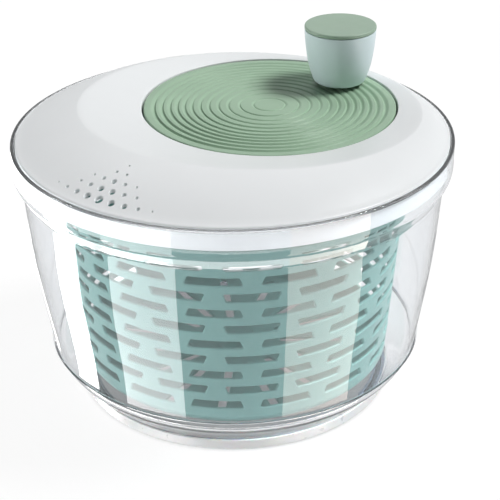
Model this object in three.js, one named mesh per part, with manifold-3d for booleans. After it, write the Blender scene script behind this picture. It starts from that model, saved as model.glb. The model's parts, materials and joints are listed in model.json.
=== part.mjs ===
// Salad spinner. A clear bowl stands on a foot ring, a slotted basket turns on a pivot in the bowl, and the
// crank disc in the lid drives the basket through a ring gear, a pinion and a drive wheel.
// Millimetres, +Z up. The origin is the centre of the bowl's foot. The drain holes face -Y, and the crank
// disc sits off centre, towards +Y.
import * as THREE from "three";
import { mergeVertices } from "three/addons/utils/BufferGeometryUtils.js";
import Module from "manifold-3d";

const wasm = await Module();
wasm.setup();

const GAP = 0.3; // left between pieces that touch

// Bowl
const RIM_R = 130.2;
const RIM_Z = 160.5;
const LIP = 2; // width of the rim's lip round the lid
const LEDGE_Z = 158.2; // the lid's edge rests here, inside the lip
const COLLAR_Z = 143.5; // lower edge of the upright collar
const FOOT_R = 97.3;
const FOOT_Z = 8;
const BOWL_SIDE = [ // outside, from the foot up the curved bottom and the straight wall
  [FOOT_R, FOOT_Z], [104, 15.8], [109.8, 22.6], [113, 29], [114, 35.5],
  [121.2, 85], [125.2, 135], [RIM_R - 0.3, COLLAR_Z],
];
const BOWL_WALL = 2.3;
const BOWL_FLOOR_Z = 8.8; // inside
const BOWL_UNDER_Z = 6.2;
const BOWL_FLOOR_R = 93.8; // the curved bottom starts here, inside
const PIVOT_R = 4;
const PIVOT_Z = 18;
const PIVOT_SHOULDER_R = 12;
const PIVOT_SHOULDER_Z = 10.2;

// Rib under the bowl that the foot ring grips
const RIB_IN = 90.8;
const RIB_OUT = 93.2;
const RIB_Z = 2;
const RING_IN = 88.4;
const RING_BASE_R = 95.75;

// Basket
const BASKET_BOTTOM_R = 95;
const BASKET_BOTTOM_Z = 22; // the wall's corner starts here
const BASKET_TOP_R = 103.5;
const FLANGE_R = 108.6;
const FLANGE_LOW_Z = 132.6;
const BASKET_TOP_Z = 138.1;
const BASKET_WALL = 2.1;
const BASKET_FLOOR_R = 87; // the corner between floor and wall starts here
const BASKET_FLOOR_Z = 14.4; // underside
const BASKET_FLOOR_TOP_Z = 16.6;
const HUB_R = 12;
const HUB_LOW_Z = 13;
const HUB_TOP_Z = 23.6;
const HUB_BORE_Z = 21.4; // top of the bearing's bore
const SLOT_ROWS = 10;
const SLOT_FIRST_Z = 31.7;
const SLOT_ROW_PITCH = 10.45;
const SLOT_COLUMNS = 15; // in one row
const SLOT_PHASE = -60.5; // degrees, of a slot in the lowest row
const SLOT_HALF = 9; // degrees
const SLOT_HEIGHT = 5;
const FLOOR_SLOT_IN = 28;
const FLOOR_SLOT_OUT = 80;
const FLOOR_SLOT_WIDTH = 5;
const DOG_RIB_IN = 97.4; // ribs inside the basket's top that the drive wheel's dogs push
const DOG_RIB_WIDTH = 3;
const DOG_RIB_TALL = 14;
const DOG_RIB_ASIDE = 6.2; // from the middle of a dog to the middle of a rib
const BEARING_R = 7.1;
const BEARING_TOP_Z = 21;
const BEARING_FLANGE_R = 11;
const BEARING_FLANGE = 2.2;

// Lid
const LID_R = 127.5;
const LID_EDGE_Z = 160.9;
const SKIRT_R = 126.1;
const SKIRT_WALL = 2;
const SKIRT_Z = 147.5; // lower end
const LID_WALL = 2.2;
const SLOPE_RISE = 1.2; // how far the slope's middle stands above a straight one
const CREASE_OFFSET = 18.5; // centre of the crease circle, towards +Y
const CREASE_R = 102;
const CREASE_Z = 171;
const CREASE_TILT = 0.05; // the crease circle drops this much per millimetre towards +Y
const WELL_R = 77.9;
const WELL_EDGE_Z = 164.6;
const WELL_FLOOR_Z = 149;
const WELL_FLOOR_LOW_Z = 146.6;
const COLLAR_R = 11.5; // collars under the well's floor that hold the bushes
const COLLAR_LOW_Z = 143;

// Drain holes in the lid's slope
const DRAIN_ROWS = 4;
const DRAIN_FIRST_R = 120.4;
const DRAIN_ROW_PITCH = 6.5;
const DRAIN_STEP = 3.9; // degrees between holes in a row
const DRAIN_LARGEST = 4.7; // diameter
const DRAIN_SMALLEST = 1.5;

// Drive: the ring gear's teeth point inwards, so pinion and crank turn the same way
const MODULE = 2;
const RING_TEETH = 57;
const PINION_TEETH = 18;
const PRESSURE_ANGLE = THREE.MathUtils.degToRad(20);
const CRANK_OFFSET = (MODULE * (RING_TEETH - PINION_TEETH)) / 2; // 39
const GEAR_LOW_Z = 151.4;
const GEAR_TOP_Z = 159.4;
const RING_GEAR_R = 63.5;
const TAB_R = 68; // screws of the ring gear
const TAB_LOW_Z = 154.8;
const TAB_THICK = 2.3;
const TAB_END_R = 5.5;
const SHAFT_R = 6;
const BUSH_R = 7.7;
const BUSH_FLANGE_R = 10.5;
const BUSH_FLANGE = 1.7;

// Drive wheel under the lid
const WHEEL_LOW_Z = 128;
const WHEEL_TOP_Z = 135;
const WHEEL_IN = 90;
const WHEEL_OUT = 96.5;
const WHEEL_ARMS = 4;
const ARM_WIDTH = 12;
const ARM_THICK = 3;
const DOG_R = 99.4;
const DOG_WIDTH = 8;
const WHEEL_HUB_R = 13;
const WHEEL_HUB_LOW_Z = 131.5;
const HEX_R = 5; // to the corners of the spindle's end

// Crank disc and knob
const DISC_R = 76.8;
const DISC_Z = 164.3; // top
const DISC_THICK = 3;
const DISC_RIM_IN = 71; // the rings stop here, at a plain rim
const CRANK_R = 56;
const CRANK_ANGLE = 72.6; // degrees from +X
const BOSS_R = 3.6; // bosses that the ring gear's screws go into
const DISC_HUB_R = 9;
const POST_R = 5;
const POST_FOOT_R = 7.5;
const POST_Z = 186.9;
const KNOB_LOW_Z = 166.3;
const KNOB_R = 22.3; // at its top edge
const KNOB_BODY_Z = 200.3;
const KNOB_TOP_Z = 203;
const KNOB_HUB_Z = 186.4;
const KNOB_HUB_WALL = 2.3;
const KNOB_RECESS_R = 19; // under the cap
const CAP_SEAT_R = 20.5;
const CAP_SEAT = 2.2; // depth

// Screws and washers
const SCREW_R = 1.7; // also the radius of its pilot hole
const SCREW_HEAD_R = 4;
const SCREW_HOLE_R = 2;
const SMALL_SCREW_R = 1.4;
const DRIVE_HEAD = 2.4; // heights of the heads
const CRANK_HEAD = 2.2;
const RING_HEAD = 2.1;
const KNOB_HEAD = 2.3;
const DRIVE_SCREW_TOP_Z = 150;
const CRANK_SCREW_TOP_Z = 156;
const KNOB_SCREW_LONG = 14;

const ROUND = 40; // sides of the large round pieces
const BASKET_ROUND = 24; // sides of the basket
const MID_ROUND = 24;
const SMALL_ROUND = 16;
const HOLE_ROUND = 12;
const DRAIN_ROUND = 8;

const radians = THREE.MathUtils.degToRad;
const polar = (r, degrees) => [r * Math.cos(radians(degrees)), r * Math.sin(radians(degrees))];
const range = (count) => Array.from({ length: count }, (_, i) => i);

// ---- solids ----

// A closed geometry as a manifold-3d solid with its faces outward.
function solid(geometry) {
  const bare = geometry.index ? geometry.toNonIndexed() : geometry.clone();
  bare.deleteAttribute("normal");
  bare.deleteAttribute("uv");
  const merged = mergeVertices(bare, 1e-4);
  const faces = [];
  for (let i = 0; i < merged.index.count; i += 3) {
    const [a, b, c] = [0, 1, 2].map((k) => merged.index.getX(i + k));
    if (a !== b && b !== c && c !== a) faces.push([a, b, c]);
  }
  const make = (list) => {
    const mesh = { numProp: 3, vertProperties: merged.attributes.position.array };
    return new wasm.Manifold(new wasm.Mesh({ ...mesh, triVerts: Uint32Array.from(list.flat()) }));
  };
  const made = make(faces);
  return made.volume() > 0 ? made : make(faces.map(([a, b, c]) => [a, c, b]));
}

// Turns a profile of [radius, z] points about Z. It starts and ends on the axis, or it closes on itself.
function revolve(profile, sides) {
  const points = profile.map(([r, z]) => new THREE.Vector2(r, z));
  if (profile[0][0] > 0) points.push(points[0].clone());
  return solid(new THREE.LatheGeometry(points, sides).rotateX(Math.PI / 2));
}

function rod(r, low, top, sides = SMALL_ROUND) {
  return revolve([[0, low], [r, low], [r, top], [0, top]], sides);
}

function tube(inner, outer, low, top, sides = SMALL_ROUND) {
  return revolve([[inner, low], [outer, low], [outer, top], [inner, top]], sides);
}

// A box between two radii, centred on the direction of an angle in degrees.
function radialBox(inner, outer, width, low, top, degrees) {
  const box = new THREE.BoxGeometry(outer - inner, width, top - low);
  box.translate((inner + outer) / 2, 0, (low + top) / 2);
  return solid(box.rotateZ(radians(degrees)));
}

// An outline of [x, y] points, with one optional hole, drawn up from low to top.
function prism(outline, low, top, hole) {
  const shape = new THREE.Shape(outline.map(([x, y]) => new THREE.Vector2(x, y)));
  if (hole) shape.holes.push(new THREE.Path(hole.map(([x, y]) => new THREE.Vector2(x, y))));
  const drawn = new THREE.ExtrudeGeometry(shape, { depth: top - low, bevelEnabled: false });
  return solid(drawn.translate(0, 0, low));
}

const circle = (r, sides) => range(sides).map((i) => polar(r, (360 * i) / sides));

const join = (solids) => solids.reduce((a, b) => a.add(b));

// A skin over rings of [x, y, z] points, closed by a fan to a point at each end.
function skin(start, rings, end) {
  const count = rings[0].length;
  const points = [start, ...rings.flat(), end];
  const at = (ring, i) => 1 + ring * count + (i % count);
  const faces = [];
  for (const i of range(count)) {
    faces.push(0, at(0, i + 1), at(0, i));
    faces.push(points.length - 1, at(rings.length - 1, i), at(rings.length - 1, i + 1));
    for (const ring of range(rings.length - 1)) {
      faces.push(at(ring, i), at(ring, i + 1), at(ring + 1, i + 1));
      faces.push(at(ring, i), at(ring + 1, i + 1), at(ring + 1, i));
    }
  }
  const geometry = new THREE.BufferGeometry();
  geometry.setAttribute("position", new THREE.Float32BufferAttribute(points.flat(), 3));
  return solid(geometry.setIndex(faces));
}

// A screw that points up: pan head from low, shank to top.
function screw(headR, shankR, low, head, top) {
  const chamfer = head / 3;
  return revolve(
    [[0, low], [headR - chamfer, low], [headR, low + chamfer], [headR, low + head],
      [shankR, low + head], [shankR, top], [0, top]],
    SMALL_ROUND - 4,
  );
}

// ---- materials and nodes ----

function plastic(color, roughness, opacity = 1) {
  return new THREE.MeshStandardMaterial({
    color, roughness, metalness: 0, opacity, transparent: opacity < 1,
  });
}

const steel = () => new THREE.MeshStandardMaterial({ color: 0xb9bcc0, roughness: 0.3, metalness: 1 });
const CLEAR = 0xeef3f6;
const MILKY = 0xe6ecee;
const MINT = 0x8fb8ab;
const WHITE = 0xf2f3f3;
const SAGE = 0x8aa78a;
const PALE_SAGE = 0xb4c6c2;
const NATURAL = 0xe9e6dc; // undyed bearing plastic

function node(group, name, shape, material) {
  const made = shape.getMesh();
  const geometry = new THREE.BufferGeometry();
  geometry.setAttribute("position", new THREE.BufferAttribute(made.vertProperties, 3));
  geometry.setIndex(new THREE.BufferAttribute(made.triVerts, 1));
  const mesh = new THREE.Mesh(geometry.toNonIndexed(), material);
  mesh.geometry.computeVertexNormals();
  mesh.name = name;
  group.add(mesh);
}

const spinner = new THREE.Group();
const lid = new THREE.Group();
const crank = new THREE.Group();
const post = new THREE.Group(); // what is fixed to the crank disc's post
const knob = new THREE.Group();
crank.position.y = CRANK_OFFSET;
post.position.set(...polar(CRANK_R, CRANK_ANGLE), 0);
knob.position.copy(post.position);
crank.add(post, knob);
lid.add(crank);
spinner.add(lid);

// ---- bowl and foot ring ----

// The bowl's side moved inwards by its wall.
function bowlInside() {
  return BOWL_SIDE.map(([r, z], i) => {
    const before = BOWL_SIDE[Math.max(i - 1, 0)];
    const after = BOWL_SIDE[Math.min(i + 1, BOWL_SIDE.length - 1)];
    const lean = Math.atan2(after[0] - before[0], after[1] - before[1]);
    return [r - BOWL_WALL * Math.cos(lean), z + BOWL_WALL * Math.sin(lean)];
  });
}

function bowl() {
  const collarIn = SKIRT_R + 0.5;
  const outside = [
    [0, BOWL_UNDER_Z], [RIB_IN, BOWL_UNDER_Z], [RIB_IN, RIB_Z], [RIB_OUT, RIB_Z], [RIB_OUT, FOOT_Z - 0.1],
    ...BOWL_SIDE, [RIM_R, COLLAR_Z + 2.5], [RIM_R, RIM_Z - 0.9], [RIM_R - 0.8, RIM_Z],
  ];
  const inside = [
    [RIM_R - LIP, RIM_Z], [RIM_R - LIP, LEDGE_Z], [collarIn, LEDGE_Z], [collarIn, COLLAR_Z + 3],
    ...bowlInside().slice(1, -1).reverse(), [BOWL_FLOOR_R, BOWL_FLOOR_Z],
    [PIVOT_SHOULDER_R, BOWL_FLOOR_Z], [PIVOT_SHOULDER_R, PIVOT_SHOULDER_Z],
    [PIVOT_R, PIVOT_SHOULDER_Z], [PIVOT_R, PIVOT_Z - 1], [PIVOT_R - 1, PIVOT_Z], [0, PIVOT_Z],
  ];
  return revolve([...outside, ...inside], ROUND);
}

function footRing() {
  const top = FOOT_Z - 0.1 - GAP;
  return revolve(
    [[RING_IN, 0.6], [RING_IN + 0.6, 0], [RING_BASE_R, 0], [FOOT_R - 0.1, 1.4], [FOOT_R + 0.2, top],
      [RIB_OUT + GAP, top], [RIB_OUT + GAP, RIB_Z - GAP], [RIB_IN - GAP, RIB_Z - GAP],
      [RIB_IN - GAP, BOWL_UNDER_Z - GAP], [RING_IN + 0.2, BOWL_UNDER_Z - GAP]],
    ROUND,
  );
}

node(spinner, "bowl", bowl(), plastic(CLEAR, 0.05, 0.3));
node(spinner, "foot_ring", footRing(), plastic(MILKY, 0.35, 0.7));

// ---- basket and its bearing ----

const basketR = (z) =>
  THREE.MathUtils.mapLinear(z, BASKET_BOTTOM_Z, FLANGE_LOW_Z, BASKET_BOTTOM_R, BASKET_TOP_R);

function basket() {
  const bore = BEARING_R + GAP;
  const shell = revolve(
    [[0, HUB_BORE_Z], [bore, HUB_BORE_Z], [bore, HUB_LOW_Z], [HUB_R, HUB_LOW_Z], [HUB_R, BASKET_FLOOR_Z],
      [BASKET_FLOOR_R, BASKET_FLOOR_Z], [BASKET_BOTTOM_R - 2.8, BASKET_FLOOR_Z + 2],
      [BASKET_BOTTOM_R, BASKET_BOTTOM_Z], [BASKET_TOP_R, FLANGE_LOW_Z], [BASKET_TOP_R, BASKET_TOP_Z - 2],
      [FLANGE_R - 2, BASKET_TOP_Z - 2], [FLANGE_R - 2, FLANGE_LOW_Z], [FLANGE_R, FLANGE_LOW_Z],
      [FLANGE_R, BASKET_TOP_Z], [BASKET_TOP_R - BASKET_WALL, BASKET_TOP_Z],
      [BASKET_TOP_R - BASKET_WALL, FLANGE_LOW_Z], [BASKET_BOTTOM_R - BASKET_WALL, BASKET_BOTTOM_Z],
      [BASKET_FLOOR_R, BASKET_FLOOR_TOP_Z], [HUB_R, BASKET_FLOOR_TOP_Z], [HUB_R - 1, HUB_TOP_Z],
      [0, HUB_TOP_Z]],
    BASKET_ROUND,
  );
  const step = 360 / SLOT_COLUMNS;
  const slots = range(SLOT_ROWS).flatMap((row) => {
    const z = SLOT_FIRST_Z + row * SLOT_ROW_PITCH;
    const width = 2 * basketR(z) * Math.sin(radians(SLOT_HALF));
    return range(SLOT_COLUMNS).map((column) => {
      const angle = SLOT_PHASE + step * (column + (row % 2) / 2);
      return radialBox(FLOOR_SLOT_OUT, FLANGE_R, width, z - SLOT_HEIGHT / 2, z + SLOT_HEIGHT / 2, angle);
    });
  });
  const floorSlots = range(SLOT_COLUMNS).map((column) => {
    const angle = SLOT_PHASE + step * column;
    return radialBox(FLOOR_SLOT_IN, FLOOR_SLOT_OUT, FLOOR_SLOT_WIDTH, HUB_LOW_Z, HUB_TOP_Z, angle);
  });
  // A rib on each side of every dog of the drive wheel
  const ribs = range(WHEEL_ARMS).flatMap((arm) =>
    [-1, 1].map((side) => {
      const outer = BASKET_TOP_R - 1;
      const box = new THREE.BoxGeometry(outer - DOG_RIB_IN, DOG_RIB_WIDTH, DOG_RIB_TALL);
      box.translate((outer + DOG_RIB_IN) / 2, side * DOG_RIB_ASIDE, FLANGE_LOW_Z - 4);
      return solid(box.rotateZ(radians((360 * arm) / WHEEL_ARMS)));
    }));
  return shell.subtract(join([...slots, ...floorSlots])).add(join(ribs));
}

function basketBearing() {
  const bore = PIVOT_R + GAP;
  const low = PIVOT_SHOULDER_Z + GAP;
  return revolve(
    [[0, PIVOT_Z + GAP], [bore, PIVOT_Z + GAP], [bore, low], [BEARING_FLANGE_R, low],
      [BEARING_FLANGE_R, low + BEARING_FLANGE], [BEARING_R, low + BEARING_FLANGE],
      [BEARING_R, BEARING_TOP_Z], [0, BEARING_TOP_Z]],
    SMALL_ROUND,
  );
}

node(spinner, "basket", basket(), plastic(MINT, 0.4));
node(spinner, "basket_bearing", basketBearing(), plastic(NATURAL, 0.45));

// ---- lid ----

// A circle on the lid: its centre's offset towards +Y, radius, height, and drop per millimetre towards +Y.
function lidRing(offset, r, z, tilt = 0) {
  return circle(r, ROUND).map(([x, y]) => [x, y + offset, z - tilt * y]);
}

// Circles of the slope between the lid's edge (0) and the crease (1), with the middle slightly raised.
function slopeRing(along, drop = 0) {
  const r = THREE.MathUtils.lerp(LID_R - 1, CREASE_R, along);
  const z = THREE.MathUtils.lerp(LID_EDGE_Z, CREASE_Z, along) + SLOPE_RISE * Math.sin(Math.PI * along);
  return lidRing(CREASE_OFFSET * along, r, z - drop, CREASE_TILT * along);
}

function drainHoles() {
  const holes = [];
  for (const row of range(DRAIN_ROWS)) {
    for (let across = (row % 2) / 2 - 4; across <= 4; across += 1) {
      const size = DRAIN_LARGEST - 0.75 * Math.abs(across) ** 1.15 - 0.8 * row ** 1.1;
      if (size < DRAIN_SMALLEST) continue;
      const [x, y] = polar(DRAIN_FIRST_R - DRAIN_ROW_PITCH * row, -90 + DRAIN_STEP * across);
      holes.push(rod(size / 2, SKIRT_Z, KNOB_TOP_Z, DRAIN_ROUND).translate([x, y, 0]));
    }
  }
  return holes;
}

function lidShell() {
  const low = LID_WALL;
  const skirtIn = SKIRT_R - SKIRT_WALL;
  const edgeLow = LEDGE_Z + GAP;
  const shell = skin(
    [0, CRANK_OFFSET, WELL_FLOOR_Z],
    [
      lidRing(CRANK_OFFSET, WELL_R, WELL_FLOOR_Z), lidRing(CRANK_OFFSET, WELL_R, WELL_EDGE_Z),
      slopeRing(1), slopeRing(0.5), slopeRing(0), lidRing(0, LID_R, LID_EDGE_Z - 1),
      lidRing(0, LID_R, edgeLow), lidRing(0, SKIRT_R, edgeLow), lidRing(0, SKIRT_R, SKIRT_Z),
      lidRing(0, skirtIn, SKIRT_Z), lidRing(0, skirtIn, edgeLow), slopeRing(1, low),
      lidRing(CRANK_OFFSET, WELL_R + LID_WALL, WELL_EDGE_Z - low),
      lidRing(CRANK_OFFSET, WELL_R + LID_WALL, WELL_FLOOR_LOW_Z),
    ],
    [0, CRANK_OFFSET, WELL_FLOOR_LOW_Z],
  );
  const collar = rod(COLLAR_R, COLLAR_LOW_Z, WELL_FLOOR_Z - 1);
  const bore = rod(BUSH_R + GAP, COLLAR_LOW_Z - 1, WELL_FLOOR_Z + 1);
  const aside = [0, CRANK_OFFSET, 0];
  const cuts = join([bore, bore.translate(aside), ...drainHoles()]);
  return join([shell, collar, collar.translate(aside)]).subtract(cuts);
}

function bush() {
  const flange = WELL_FLOOR_Z + GAP;
  return revolve(
    [[SHAFT_R + GAP, COLLAR_LOW_Z], [BUSH_R, COLLAR_LOW_Z], [BUSH_R, flange], [BUSH_FLANGE_R, flange],
      [BUSH_FLANGE_R, flange + BUSH_FLANGE], [SHAFT_R + GAP, flange + BUSH_FLANGE]],
    SMALL_ROUND,
  );
}

node(lid, "lid_shell", lidShell(), plastic(WHITE, 0.3));
node(lid, "pinion_bush", bush(), plastic(NATURAL, 0.45));
node(lid, "crank_bush", bush().translate([0, CRANK_OFFSET, 0]), plastic(NATURAL, 0.45));

// ---- gears ----

// Half the angle that an involute tooth takes up at a radius, in degrees. Thinning is in millimetres.
function halfTooth(r, teeth, thinning) {
  const pitchR = (MODULE * teeth) / 2;
  const baseR = pitchR * Math.cos(PRESSURE_ANGLE);
  const involute = (radius) => {
    const angle = Math.acos(baseR / Math.max(radius, baseR));
    return Math.tan(angle) - angle;
  };
  const half = Math.PI / (2 * teeth) - thinning / (2 * pitchR) + involute(pitchR) - involute(r);
  return THREE.MathUtils.radToDeg(half);
}

// An outline with one tooth centred on -Y, from the radii of a flank's points, root first.
function toothed(teeth, radii, thinning) {
  return range(teeth).flatMap((k) => {
    const middle = -90 + (360 * k) / teeth;
    const rise = radii.map((r) => polar(r, middle - halfTooth(r, teeth, thinning)));
    const fall = radii.map((r) => polar(r, middle + halfTooth(r, teeth, thinning))).reverse();
    return [...rise, ...fall];
  });
}

const tabAngles = range(4).map((i) => 45 + 90 * i);

function ringGear() {
  const pitchR = (MODULE * RING_TEETH) / 2;
  const spaces = toothed(RING_TEETH, [pitchR - 0.9 * MODULE, pitchR + 1.25 * MODULE], -0.25);
  const body = prism(circle(RING_GEAR_R, ROUND), GEAR_LOW_Z, GEAR_TOP_Z, spaces);
  const tabs = tabAngles.map((angle) => {
    const top = TAB_LOW_Z + TAB_THICK;
    const tab = rod(TAB_END_R, TAB_LOW_Z, top).translate([...polar(TAB_R, angle), 0]);
    return tab.add(radialBox(RING_GEAR_R - 2, TAB_R, 2 * TAB_END_R, TAB_LOW_Z, top, angle));
  });
  const holes = tabAngles.map((angle) =>
    rod(SCREW_R, GEAR_LOW_Z, GEAR_TOP_Z, HOLE_ROUND).translate([...polar(TAB_R, angle), 0]));
  return join([body, ...tabs]).subtract(join(holes));
}

function drivePinion() {
  const pitchR = (MODULE * PINION_TEETH) / 2;
  const outline = toothed(PINION_TEETH, [pitchR - 1.25 * MODULE, pitchR, pitchR + 0.9 * MODULE], 0.35);
  const gear = prism(outline, GEAR_LOW_Z, GEAR_TOP_Z);
  const shaft = rod(SHAFT_R, COLLAR_LOW_Z, GEAR_LOW_Z + 1);
  const hex = rod(HEX_R, WHEEL_HUB_LOW_Z + GAP, COLLAR_LOW_Z + 1, 6);
  const hole = rod(SCREW_HOLE_R, WHEEL_HUB_LOW_Z - 1, DRIVE_SCREW_TOP_Z + 1, HOLE_ROUND);
  return join([gear, shaft, hex]).subtract(hole);
}

node(crank, "ring_gear", ringGear(), plastic(NATURAL, 0.45));
node(lid, "drive_pinion", drivePinion(), plastic(NATURAL, 0.45));

// ---- drive wheel under the lid ----

function driveWheel() {
  const hub = rod(WHEEL_HUB_R, WHEEL_HUB_LOW_Z, COLLAR_LOW_Z - GAP, MID_ROUND);
  const rim = tube(WHEEL_IN, WHEEL_OUT, WHEEL_LOW_Z, WHEEL_TOP_Z, ROUND);
  const arms = range(WHEEL_ARMS).flatMap((arm) => {
    const angle = (360 * arm) / WHEEL_ARMS;
    return [
      radialBox(WHEEL_HUB_R - 2, WHEEL_IN + 1, ARM_WIDTH, WHEEL_TOP_Z - ARM_THICK, WHEEL_TOP_Z, angle),
      radialBox(WHEEL_OUT - 2, DOG_R, DOG_WIDTH, WHEEL_LOW_Z, WHEEL_TOP_Z, angle),
    ];
  });
  const bore = rod(HEX_R + GAP + 0.05, WHEEL_HUB_LOW_Z - 1, COLLAR_LOW_Z + 1, 6);
  return join([hub, rim, ...arms]).subtract(bore);
}

const driveWasherTop = WHEEL_HUB_LOW_Z - GAP;
node(lid, "drive_plate", driveWheel(), plastic(WHITE, 0.4));
const driveWasherLow = driveWasherTop - 1.2;
const driveScrewLow = driveWasherLow - GAP - DRIVE_HEAD;
node(lid, "drive_washer", tube(SCREW_HOLE_R, 9, driveWasherLow, driveWasherTop), steel());
node(lid, "drive_screw", screw(SCREW_HEAD_R, SCREW_R, driveScrewLow, DRIVE_HEAD, DRIVE_SCREW_TOP_Z), steel());

// ---- crank disc ----

function crankDisc() {
  const under = DISC_Z - DISC_THICK;
  const hubLow = WELL_FLOOR_Z + GAP + BUSH_FLANGE + GAP;
  const disc = revolve(
    [[0, DISC_Z - 0.8], [DISC_RIM_IN, DISC_Z - 0.8], [DISC_RIM_IN + 1, DISC_Z],
      [DISC_R - 0.8, DISC_Z], [DISC_R, DISC_Z - 0.8], [DISC_R, under], [DISC_HUB_R, under],
      [DISC_HUB_R, hubLow], [SHAFT_R, hubLow], [SHAFT_R, COLLAR_LOW_Z + GAP], [0, COLLAR_LOW_Z + GAP]],
    ROUND,
  );
  const bossLow = TAB_LOW_Z + TAB_THICK + GAP;
  const bosses = tabAngles.map((angle) =>
    rod(BOSS_R, bossLow, under + 1).translate([...polar(TAB_R, angle), 0]));
  const pilots = tabAngles.map((angle) =>
    rod(SCREW_R, bossLow - 1, under + 1, HOLE_ROUND).translate([...polar(TAB_R, angle), 0]));
  const aside = [...polar(CRANK_R, CRANK_ANGLE), 0];
  const post = revolve(
    [[0, under + 1], [POST_FOOT_R, under + 1], [POST_FOOT_R, DISC_Z + 0.8], [POST_R, DISC_Z + 1.4],
      [POST_R, POST_Z], [0, POST_Z]],
    SMALL_ROUND,
  ).translate(aside);
  const postHole = rod(SCREW_R, POST_Z - KNOB_SCREW_LONG, POST_Z + 1, HOLE_ROUND).translate(aside);
  const hubHole = rod(SCREW_HOLE_R, COLLAR_LOW_Z, CRANK_SCREW_TOP_Z + GAP, HOLE_ROUND);
  return join([disc, ...bosses, post]).subtract(join([...pilots, postHole, hubHole]));
}

const ringScrewLow = TAB_LOW_Z - GAP - RING_HEAD;
const crankWasherTop = COLLAR_LOW_Z - 0.2;
const crankWasherLow = crankWasherTop - 1.6;
const crankScrewLow = crankWasherLow - GAP - CRANK_HEAD;
node(crank, "crank_disc", crankDisc(), plastic(SAGE, 0.45));
node(crank, "crank_washer", tube(SCREW_HOLE_R, 10, crankWasherLow, crankWasherTop), steel());
const crankScrew = screw(SCREW_HEAD_R, SCREW_R, crankScrewLow, CRANK_HEAD, CRANK_SCREW_TOP_Z);
node(crank, "crank_screw", crankScrew, steel());
for (const [i, angle] of tabAngles.entries()) {
  const ringScrew = screw(3, SMALL_SCREW_R, ringScrewLow, RING_HEAD, DISC_Z - DISC_THICK + 0.6);
  node(crank, `ring_gear_screw_${i + 1}`, ringScrew.translate([...polar(TAB_R, angle), 0]), steel());
}

// ---- knob ----

function knobBody() {
  const bore = POST_R + 0.4;
  const sleeve = bore + KNOB_HUB_WALL;
  const web = KNOB_HUB_Z - KNOB_HUB_WALL;
  const seat = KNOB_BODY_Z - CAP_SEAT;
  const side = [ // outside, from the narrow foot up
    [13.4, 0.2], [14.6, 0], [16, 0.8], [17, 3], [19.3, 10.4], [21, 19.9], [21.9, 28.4],
  ].map(([r, up]) => [r, KNOB_LOW_Z + up]);
  return revolve(
    [[bore, KNOB_LOW_Z + 0.3], [sleeve, KNOB_LOW_Z + 0.3], [sleeve, web], [17.4, web],
      [13.8, KNOB_LOW_Z + 2.4], ...side, [KNOB_R - 0.1, KNOB_BODY_Z], [CAP_SEAT_R, KNOB_BODY_Z],
      [CAP_SEAT_R, seat], [KNOB_RECESS_R, seat], [KNOB_RECESS_R - 1, KNOB_HUB_Z], [bore, KNOB_HUB_Z]],
    MID_ROUND,
  );
}

function knobCap() {
  const seat = KNOB_BODY_Z + GAP;
  const collarOut = CAP_SEAT_R - GAP;
  const collarIn = collarOut - 2;
  const collarLow = KNOB_BODY_Z - CAP_SEAT + GAP;
  return revolve(
    [[0, seat], [collarIn, seat], [collarIn, collarLow], [collarOut, collarLow], [collarOut, seat],
      [KNOB_R - 0.2, seat], [KNOB_R, seat + 0.6], [KNOB_R, KNOB_TOP_Z - 0.8],
      [KNOB_R - 0.6, KNOB_TOP_Z - 0.1], [KNOB_R - 2, KNOB_TOP_Z], [0, KNOB_TOP_Z]],
    MID_ROUND,
  );
}

const knobWasherLow = POST_Z + GAP;
const knobScrewLow = knobWasherLow + 1 + GAP;
const upsideDown = [180, 0, 0];
node(knob, "knob_body", knobBody(), plastic(PALE_SAGE, 0.4));
node(knob, "knob_cap", knobCap(), plastic(SAGE, 0.45));
node(post, "knob_washer", tube(1.8, 8.4, knobWasherLow, knobWasherLow + 1), steel());
// The screw is made pointing up and is turned over about its own head
const knobScrew = screw(3.4, SMALL_SCREW_R, -KNOB_HEAD, KNOB_HEAD, KNOB_SCREW_LONG - 1).rotate(upsideDown);
node(post, "knob_screw", knobScrew.translate([0, 0, knobScrewLow]), steel());

export default spinner;
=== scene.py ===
"""A crank salad spinner: a clear bowl on a foot ring, a slotted basket, and a lid whose crank turns it.

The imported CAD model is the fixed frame. Fine pieces stand in the places of its larger nodes, and the gears,
bushes, washers and screws are the CAD nodes themselves with better materials. Lengths are in millimetres,
and piece() turns them into metres. The drain holes face -Y, and the crank disc sits off centre, towards +Y.

A section is a list of corners (radius, z, cut, offset, drop) that is turned about Z. The cut rounds the
corner off. The offset moves that corner's ring towards +Y, and the drop tilts it.
"""

import json
import math

import bmesh
import bpy
from mathutils import Matrix, Vector
from mathutils.geometry import delaunay_2d_cdt


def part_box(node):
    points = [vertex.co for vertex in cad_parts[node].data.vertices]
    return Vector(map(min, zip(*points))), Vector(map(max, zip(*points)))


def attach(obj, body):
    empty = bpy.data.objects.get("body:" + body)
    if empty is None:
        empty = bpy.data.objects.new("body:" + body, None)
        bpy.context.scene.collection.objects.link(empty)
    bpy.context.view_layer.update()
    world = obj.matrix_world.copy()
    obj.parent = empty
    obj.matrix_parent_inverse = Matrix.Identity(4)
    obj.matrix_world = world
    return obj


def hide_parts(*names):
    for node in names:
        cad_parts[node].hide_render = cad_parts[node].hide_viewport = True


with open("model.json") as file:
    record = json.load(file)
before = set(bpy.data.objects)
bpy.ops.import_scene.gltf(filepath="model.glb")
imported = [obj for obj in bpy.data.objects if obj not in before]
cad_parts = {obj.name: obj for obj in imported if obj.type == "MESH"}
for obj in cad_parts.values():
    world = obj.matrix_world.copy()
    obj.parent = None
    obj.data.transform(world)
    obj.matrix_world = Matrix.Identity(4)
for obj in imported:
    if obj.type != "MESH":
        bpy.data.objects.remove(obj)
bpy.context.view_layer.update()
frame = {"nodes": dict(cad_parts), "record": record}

MM = 0.001
SIDES = 180  # of the large rings, so that one side is 2 degrees
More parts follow.
